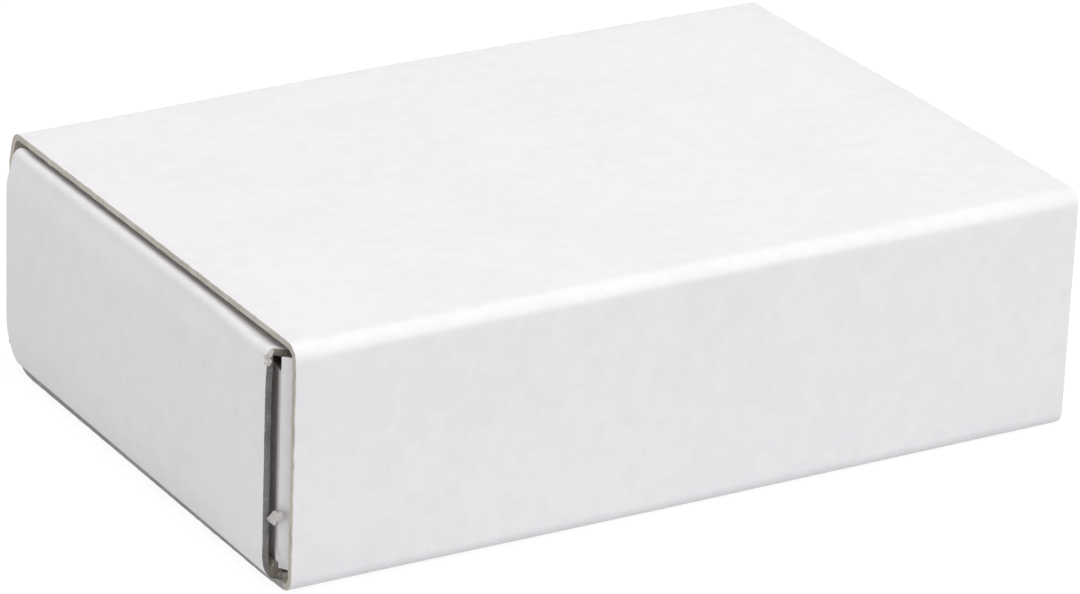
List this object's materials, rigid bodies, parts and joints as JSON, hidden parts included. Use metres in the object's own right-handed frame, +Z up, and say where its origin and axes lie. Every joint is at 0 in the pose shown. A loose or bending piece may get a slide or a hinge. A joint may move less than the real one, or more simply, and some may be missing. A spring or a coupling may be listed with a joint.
{
  "type": "matchbox",
  "caption": "Plain slide matchbox of folded white card: a sleeve open at both ends, and a tray with rolled end walls that slides in it.",
  "frame": {"origin": "on the surface that the box lies on, under the middle of the bounding box of sleeve and tray together", "axes": "+X along the box, away from the end where the tray stands out; -Y towards the near long side; +Z up"},
  "size_m": [0.054, 0.0364, 0.0154],
  "materials": {
    "sleeve_card": "matt white-lined card, grey-beige inside and at the cut edges",
    "tray_card": "matt white-lined card, grey-beige inside and at the cut edges"
  },
  "bodies": {
    "sleeve": {"sleeve": "sleeve_card"},
    "tray": {"tray": "tray_card"}
  },
  "joints": [
    {"name": "tray_slide", "type": "slide", "parent": "sleeve", "child": "tray", "axis": [-1, 0, 0], "range_m": [-0.055, 0.054]}
  ]
}
